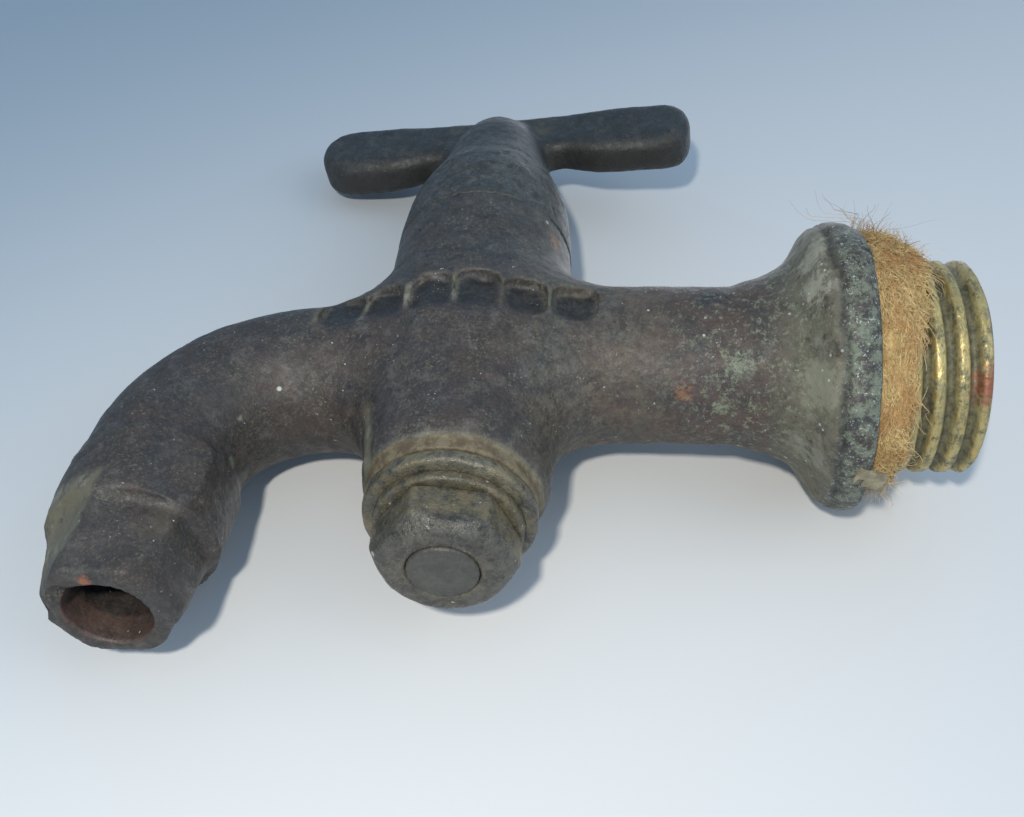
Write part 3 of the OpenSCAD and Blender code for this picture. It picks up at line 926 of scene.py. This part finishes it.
class Look:
    """A material whose nodes are wired by short calls. Sizes of its noises are millimetres."""

    def __init__(self, name):
        self.material = bpy.data.materials.new(name)
        self.material.use_nodes = True
        self.tree = self.material.node_tree
        self.shader = self.tree.nodes["Principled BSDF"]
        place = self.node("ShaderNodeTexCoord").outputs["Object"]
        in_mm = self.node("ShaderNodeVectorMath", {0: place, 1: (1 / MM,) * 3}, operation="MULTIPLY")
        self.place = in_mm.outputs[0]
        self.x, self.y, self.z = self.node("ShaderNodeSeparateXYZ", {0: self.place}).outputs
        self.colour = None

    def feed(self, socket, value):
        """Gives an input its value, or wires it to an output."""
        if isinstance(value, bpy.types.NodeSocket):
            self.tree.links.new(value, socket)
        else:
            socket.default_value = value

    def node(self, kind, inputs=None, **settings):
        made = self.tree.nodes.new(kind)
        for name, value in settings.items():
            setattr(made, name, value)
        for name, value in (inputs or {}).items():
            self.feed(made.inputs[name], value)
        return made

    def masks(self):
        """The four painted masks, as sockets."""
        read = self.node("ShaderNodeAttribute", attribute_name="masks")
        split = self.node("ShaderNodeSeparateColor", {0: read.outputs["Color"]})
        return [*split.outputs, read.outputs["Alpha"]]

    def blot(self, centre, reach, edge):
        """1 near a point given in millimetres from the crossing of the axes, with a ragged edge."""
        middle = tuple(np.array(centre) + KEY_AXIS / MM)
        away = self.node("ShaderNodeVectorMath", {0: self.place, 1: middle}, operation="DISTANCE")
        wander = self.times(self.noise(0.5 * reach, 6, 0.8, 83), 2 * edge * reach)
        ragged = self.plus(away.outputs["Value"], wander)
        return self.band(ragged, reach * (1.05 + edge), reach * (0.5 + edge * 0.9))

    def blots(self, stains):
        """1 near any of the stains, each given as (centre, reach, edge)."""
        total = self.blot(*stains[0])
        for stain in stains[1:]:
            total = self.most(total, self.blot(*stain))
        return total

    def noise(self, size, detail=3.0, rough=0.55, move=0.0, stretch=(1, 1, 1)):
        scale = [1 / size / n for n in stretch]
        moved = {"Vector": self.place, "Location": (move,) * 3, "Scale": scale}
        place = self.node("ShaderNodeMapping", moved).outputs[0]
        return self.node("ShaderNodeTexNoise", {
            "Vector": place, "Scale": 1.0, "Detail": detail, "Roughness": rough}).outputs["Fac"]

    def spots(self, size, reach, move, chance):
        """1 inside round dots scattered at about that spacing, 0 between them."""
        place = self.node("ShaderNodeVectorMath", {0: self.place, 1: (move,) * 3}, operation="ADD")
        cells = self.node("ShaderNodeTexVoronoi", {"Vector": place.outputs[0], "Scale": 1 / size})
        dot = self.band(cells.outputs["Distance"], reach, reach * 0.55)
        pick = self.node("ShaderNodeSeparateColor", {0: cells.outputs["Color"]}).outputs[0]
        return self.times(dot, self.band(pick, chance, chance - 0.02))

    def band(self, value, start, end, low=0.0, high=1.0):
        return self.node("ShaderNodeMapRange", {
            "Value": value, "From Min": start, "From Max": end, "To Min": low, "To Max": high,
        }, interpolation_type="SMOOTHSTEP").outputs[0]

    def patches(self, size, detail, rough, move, start, end, low=0.0, high=1.0):
        """Noise cut between two levels, so that it makes patches."""
        return self.band(self.noise(size, detail, rough, move), start, end, low, high)

    def stretch(self, value, rise, fall):
        """1 on a stretch of a coordinate that starts at a rise and ends at a fall."""
        return self.times(self.band(value, *rise), self.band(value, *fall))

    def maths(self, operation, a, b):
        return self.node("ShaderNodeMath", {0: a, 1: b}, operation=operation).outputs[0]

    def times(self, a, b):
        return self.maths("MULTIPLY", a, b)

    def plus(self, a, b):
        return self.maths("ADD", a, b)

    def most(self, a, b):
        return self.maths("MAXIMUM", a, b)

    def mix(self, factor, a, b):
        """From colour a to colour b."""
        made = self.node("ShaderNodeMix", data_type="RGBA")
        for slot, value in ((0, factor), (6, a), (7, b)):
            self.feed(made.inputs[slot], (*value, 1) if isinstance(value, tuple) else value)
        return made.outputs[2]

    def coat(self, mask, tint, amount=1.0):
        """Lays a tint over the colour so far, where the mask says."""
        self.colour = self.mix(self.times(mask, amount), self.colour, tint)

    def finish(self, piece, roughness, metallic, height, depth):
        """Wires the shader. The height is a socket from 0 to 1 that stands for depth millimetres."""
        bump = self.node("ShaderNodeBump", {"Height": height, "Distance": depth * MM, "Strength": 1.0})
        self.feed(self.shader.inputs["Normal"], bump.outputs[0])
        self.feed(self.shader.inputs["Base Color"], self.colour)
        self.feed(self.shader.inputs["Roughness"], roughness)
        self.feed(self.shader.inputs["Metallic"], metallic)
        piece.data.materials.clear()
        piece.data.materials.append(self.material)


# Soot, also used as painted shade in the bores.
SOOT_AND_SHADE = (0.012, 0.013, 0.014)
# Peat brown, painted as shade on the key's undersides.
PEAT_SHADE = (0.03, 0.024, 0.018)
UMBER = (0.046, 0.035, 0.029)
SLATE = (0.037, 0.037, 0.038)
BELL_BROWN = (0.034, 0.033, 0.03)
BELL_SLATE = (0.041, 0.048, 0.047)
LEAD = (0.07, 0.07, 0.06)
PEWTER = (0.07, 0.065, 0.055)
ASH = (0.125, 0.115, 0.1)
EARTH = (0.1, 0.075, 0.045)
TAN = (0.11, 0.075, 0.035)
OXIDE = (0.085, 0.05, 0.038)
BRICK = (0.13, 0.07, 0.053)
RUST = (0.27, 0.11, 0.045)
OLIVE = (0.13, 0.115, 0.065)
KHAKI = (0.15, 0.137, 0.09)
HORN = (0.19, 0.155, 0.085)
STRAW = (0.2, 0.185, 0.12)
PUTTY = (0.25, 0.24, 0.17)
CREAM = (0.34, 0.32, 0.24)
CHALK = (0.45, 0.47, 0.42)
MOSS = (0.2, 0.23, 0.16)
VERDIGRIS = (0.19, 0.215, 0.14)
PALE_GRIME = (0.16, 0.145, 0.08)
DARK_GRIME = (0.06, 0.057, 0.035)
BRONZE = (0.2, 0.15, 0.07)
DULL_GOLD = (0.34, 0.3, 0.14)
BRASS = (0.6, 0.46, 0.19)
COPPER = (0.36, 0.15, 0.09)
WORN_WASHER = (0.2, 0.18, 0.13)
WORN_RING = (0.12, 0.1, 0.06)
WORN_NUT = (0.1, 0.09, 0.072)
DARK_FIBRE = (0.3, 0.19, 0.075)
PALE_FIBRE = (0.74, 0.54, 0.25)
RUSTY_FIBRE = (0.42, 0.2, 0.07)
DRY_FIBRE = (0.36, 0.26, 0.12)
DARK_WOOD = (0.16, 0.13, 0.08)
PALE_WOOD = (0.36, 0.31, 0.2)
# Table colours for the painted light falloff: shaded far side, lit near side.
SHADED_FAR_TABLE = (0.31, 0.375, 0.43)
LIT_NEAR_TABLE = (0.67, 0.665, 0.655)

# Stains, each as (centre in millimetres from the crossing of the axes, reach, edge).
VERDIGRIS_STAINS = (
    ((26.1, -5.6, -6.4), 1.7, 2), ((24.7, -1.6, -8), 1.1, 2), ((-20.4, -1.9, -16.1), 0.9, 0.8),
    ((-20.3, -3.8, -12.2), 0.4, 0.8),
)
LIME_STAINS = (((32.5, -12.6, 1.5), 2.5, 2), ((32.7, -11.9, -2.8), 2.1, 2))
PUTTY_STAINS = (((33.1, -6.5, -10.1), 3.2, 1.4),)
EARTH_STAINS = (((-23.6, -5.1, -26.6), 2.2, 1.5),)
RUST_STAINS = (((21, -3, -7.3), 1.1, 2.2), ((8, -5.5, 14), 1.6, 1.8))
COPPER_STAINS = (((48.6, -5.4, -8.6), 2.4, 1.6), ((-28.3, -4.4, -32.3), 0.7, 1.5))

# Places along the shared frame's x, in millimetres from the flange's face: a rise and a fall, or
# one ramp as (start, end).
MOSSY_RIM = ((-3.6, -3.1), (0.3, -0.1))
FROSTED_RIM = ((-4, -3), (0.3, -0.1))
CRUMBS_BY_FLANGE = ((-24, -12), (-3, -5))
DUSTY_NECK = ((-34, -29), (-16, -22))
CHALKY_NECK = (-28, -18)
SOOTY_SPOUT = (-54, -60)
PAST_SNOUT = (-54, -52)
ON_THREAD = (0.05, 0.3)


def patina(look, umber, slate):
    """The dark skin all the metal shares: soot, brown and slate, mottled at many sizes, and dusty."""
    look.colour = look.mix(look.patches(8, 3, 0.6, 0, 0.4, 0.6), umber, slate)
    look.coat(look.patches(1.3, 4, 0.7, 7, 0.36, 0.64), SOOT_AND_SHADE, 0.6)
    dust = look.patches(0.3, 3, 0.85, 3, 0.48, 0.72)
    settled = look.patches(3.2, 4, 0.6, 37, 0.35, 0.65, 0.3, 1.0)
    look.coat(look.times(dust, settled), KHAKI, 0.95)
    look.coat(look.patches(0.45, 3, 0.75, 43, 0.54, 0.68), SOOT_AND_SHADE, 0.6)
    look.coat(look.patches(2.2, 6, 0.8, 107, 0.5, 0.66), ASH, 0.5)
    look.coat(look.patches(1.5, 5, 0.8, 113, 0.52, 0.66), SOOT_AND_SHADE, 0.65)


def specks(look, amount):
    """Chalky flecks of two sizes."""
    fine = look.patches(0.42, 2, 0.6, 47, 0.68, 0.76)
    fine = look.times(fine, look.patches(4, 2, 0.5, 31, 0.48, 0.62))
    look.coat(look.most(fine, look.spots(6, 0.05, 9, 0.4)), CHALK, 0.7 * amount)


def metal_relief(look):
    """Height for the bump, from two noises."""
    grain = look.noise(0.28, 3, 0.7, 3)
    lumps = look.noise(1.0, 3, 0.6, 11)
    return look.plus(look.times(grain, 0.4), look.times(lumps, 0.6))


def film_crust_and_highlight(look, film, crust_and_highlight):
    """A red-brown film, thin all over and thick where the mask says, then straw to cream deposits, which
    also stand for painted highlights on the barrel's lip, the fillet and the pocket ribs.
    """
    look.coat(look.times(look.most(film, 0.35), look.patches(3.5, 4, 0.6, 17, 0.3, 0.68)), OXIDE, 0.65)
    pale = look.mix(look.patches(3, 3, 0.6, 41, 0.5, 0.66), STRAW, CREAM)
    look.coat(crust_and_highlight, pale, 0.8)


def foot_and_rim(look):
    """Tan patches under the barrel's lip, then moss-green corrosion and frost on the flange's rim."""
    on_foot = look.times(look.band(look.z, LIP_Z + 0.1, LIP_Z - 0.05), look.band(look.x, *PAST_SNOUT))
    foot = look.mix(look.patches(1.5, 4, 0.7, 53, 0.42, 0.58), HORN, TAN)
    look.coat(on_foot, foot, 0.68)
    moss = look.times(look.stretch(look.x, *MOSSY_RIM), look.patches(1.1, 6, 0.85, 59, 0.44, 0.58))
    moss = look.times(moss, look.band(look.z, 9, -3, 0.45, 1.0))
    look.coat(moss, MOSS, 0.65)
    frost = look.patches(0.35, 4, 0.8, 73, 0.58, 0.66)
    look.coat(look.stretch(look.x, *FROSTED_RIM), CHALK, frost)


def stains(look, broken):
    """Single stains on the neck, the flare and the snout."""
    look.coat(look.times(look.blots(VERDIGRIS_STAINS), broken), VERDIGRIS, 0.8)
    look.coat(look.blots(LIME_STAINS), CREAM, 0.8)
    look.coat(look.blots(PUTTY_STAINS), PUTTY, 0.7)
    look.coat(look.blots(EARTH_STAINS), EARTH, 0.5)


def mouth_and_neck(look, film):
    """Scale in the mouth, crumbs and chalk near the flange, dust at the neck's root, a sooty spout."""
    in_mouth = look.times(look.band(film, 0.6, 0.9), look.band(look.z, -27, -29))
    look.coat(in_mouth, BRICK, look.patches(1.0, 5, 0.8, 127, 0.4, 0.6, 0.1, 0.6))
    crumbs = look.times(look.patches(0.7, 6, 0.85, 67, 0.53, 0.6), look.stretch(look.x, *CRUMBS_BY_FLANGE))
    look.coat(crumbs, VERDIGRIS, 0.75)
    chalk = look.times(look.spots(1.3, 0.13, 5, 0.5), look.patches(5, 3, 0.6, 79, 0.42, 0.55))
    look.coat(look.times(chalk, look.band(look.x, *CHALKY_NECK)), CHALK, 0.85)
    dust = look.times(look.stretch(look.x, *DUSTY_NECK), look.patches(0.8, 5, 0.8, 91, 0.4, 0.62))
    look.coat(dust, STRAW, 0.22)
    look.coat(look.band(look.x, *SOOTY_SPOUT, 0.0, 0.22), SOOT_AND_SHADE)


def thread_metal(look, bare, shine):
    """Grime in the thread's grooves, dull gold on its flanks and bright brass on its crests."""
    grime = look.mix(look.patches(1.2, 5, 0.8, 89, 0.4, 0.6), PALE_GRIME, DARK_GRIME)
    look.coat(look.band(look.x, *ON_THREAD), grime, 0.9)
    look.coat(bare, DULL_GOLD, look.patches(1.6, 5, 0.8, 97, 0.42, 0.6))
    look.coat(shine, BRASS, 0.85)


def dress_body():
    look = Look("body_metal")
    deposit_and_highlight, bare, film, dark = look.masks()
    high = look.band(look.z, 3, 10)
    patina(look, look.mix(high, UMBER, BELL_BROWN), look.mix(high, SLATE, BELL_SLATE))
    # Pale deposits, and painted highlights on the barrel's lip, the fillet and the pocket ribs.
    crust_and_highlight = look.times(deposit_and_highlight, look.patches(1.6, 5, 0.75, 23, 0.3, 0.52))
    film_crust_and_highlight(look, film, crust_and_highlight)
    foot_and_rim(look)
    broken = look.patches(0.7, 6, 0.85, 131, 0.42, 0.55)
    stains(look, broken)
    mouth_and_neck(look, film)
    look.coat(look.times(look.blots(RUST_STAINS), broken), RUST, 0.7)
    # Dark dirt in the pockets and the groove behind the rim, and painted shade deep in the mouth's bore and
    # inside the inlet bore.
    look.coat(dark, SOOT_AND_SHADE, look.patches(0.6, 4, 0.8, 101, 0.4, 0.6, 0.95, 0.5))
    specks(look, 1.3)
    worn = look.band(look.noise(1.4, 5, 0.75, 61, (0.35, 1, 1)), 0.42, 0.6)
    shine = look.times(look.band(bare, 0.6, 0.9), worn)
    thread_metal(look, bare, shine)
    copper = look.blots(COPPER_STAINS)
    look.coat(copper, COPPER)
    roughness = look.patches(1.1, 3, 0.6, 71, 0.3, 0.7, 0.46, 0.68)
    roughness = look.plus(look.plus(roughness, look.times(crust_and_highlight, 0.25)), look.times(shine, -0.15))
    look.finish(tap_body, roughness, look.times(look.most(shine, copper), 0.8), metal_relief(look), 0.15)


def dress_key():
    look = Look("key_metal")
    crook, hidden, brown, seam = look.masks()
    patina(look, BELL_BROWN, BELL_SLATE)
    # Painted shade on the handle's undersides.
    look.coat(brown, PEAT_SHADE, 0.6)
    # Painted highlight in the crooks beside the bell.
    look.coat(crook, OLIVE, look.patches(1.2, 3, 0.6, 13, 0.35, 0.6))
    look.coat(seam, SOOT_AND_SHADE, 0.25)
    look.coat(look.band(look.z, 24, 40), SOOT_AND_SHADE, 0.5)
    look.coat(look.band(look.z, -19, -21), PEWTER, 0.6)
    specks(look, 0.5)
    look.coat(hidden, BRONZE)
    roughness = look.patches(1.1, 3, 0.6, 71, 0.3, 0.7, 0.42, 0.66)
    look.finish(key, roughness, look.times(hidden, 0.8), metal_relief(look), 0.15)


def dress_small(piece, name, worn):
    """Washer, ring or nut: worn metal, with dirt where the mask says."""
    look = Look(name)
    patina(look, worn, LEAD)
    dirt = look.times(look.masks()[0], look.patches(1.3, 4, 0.65, 29, 0.35, 0.6))
    look.coat(dirt, HORN, 0.75)
    specks(look, 1.2)
    roughness = look.patches(0.6, 3, 0.6, 71, 0.3, 0.7, 0.22, 0.5)
    look.finish(piece, roughness, 0.2, metal_relief(look), 0.3)


def dress_hemp():
    look = Look("hemp")
    tone, wood = look.masks()[:2]
    look.colour = look.mix(look.band(tone, 0.15, 0.85), DARK_FIBRE, PALE_FIBRE)
    look.coat(look.patches(2.5, 3, 0.6, 15, 0.42, 0.62), RUSTY_FIBRE, 0.55)
    fleck = look.noise(0.5, 3, 0.6, 5)
    look.coat(look.band(fleck, 0.45, 0.7), DRY_FIBRE, 0.35)
    look.coat(wood, look.mix(tone, DARK_WOOD, PALE_WOOD))
    look.finish(hemp_core, 0.85, 0.0, fleck, 0.3)
    for piece in hemp_pieces[1:]:
        piece.data.materials.append(look.material)


def dress_table():
    """A pale table with painted light falloff, shaded towards the far left, that is clear when seen from
    behind.
    """
    look = Look("table")
    slope = 0.75 * right - up
    down = look.node("ShaderNodeVectorMath", {0: look.place, 1: tuple(slope)}, operation="DOT_PRODUCT")
    middle = slope.dot(Vector(KEY_AXIS)) / MM
    lit = look.band(down.outputs["Value"], middle - 115, middle + 52)
    # Painted light falloff: shaded towards the far left, lit towards the near right.
    look.colour = look.mix(lit, SHADED_FAR_TABLE, LIT_NEAR_TABLE)
    look.finish(table, 0.8, 0.0, look.noise(3), 0.01)
    back_side = look.node("ShaderNodeNewGeometry").outputs["Backfacing"]
    clear = look.node("ShaderNodeBsdfTransparent").outputs[0]
    seen = look.node("ShaderNodeMixShader", {0: back_side, 1: look.shader.outputs[0], 2: clear}).outputs[0]
    look.tree.links.new(seen, look.tree.nodes["Material Output"].inputs["Surface"])


dress_body()
dress_key()
dress_small(washer, "washer_metal", WORN_WASHER)
dress_small(ring, "ring_metal", WORN_RING)
dress_small(nut, "nut_metal", WORN_NUT)
dress_hemp()
dress_table()
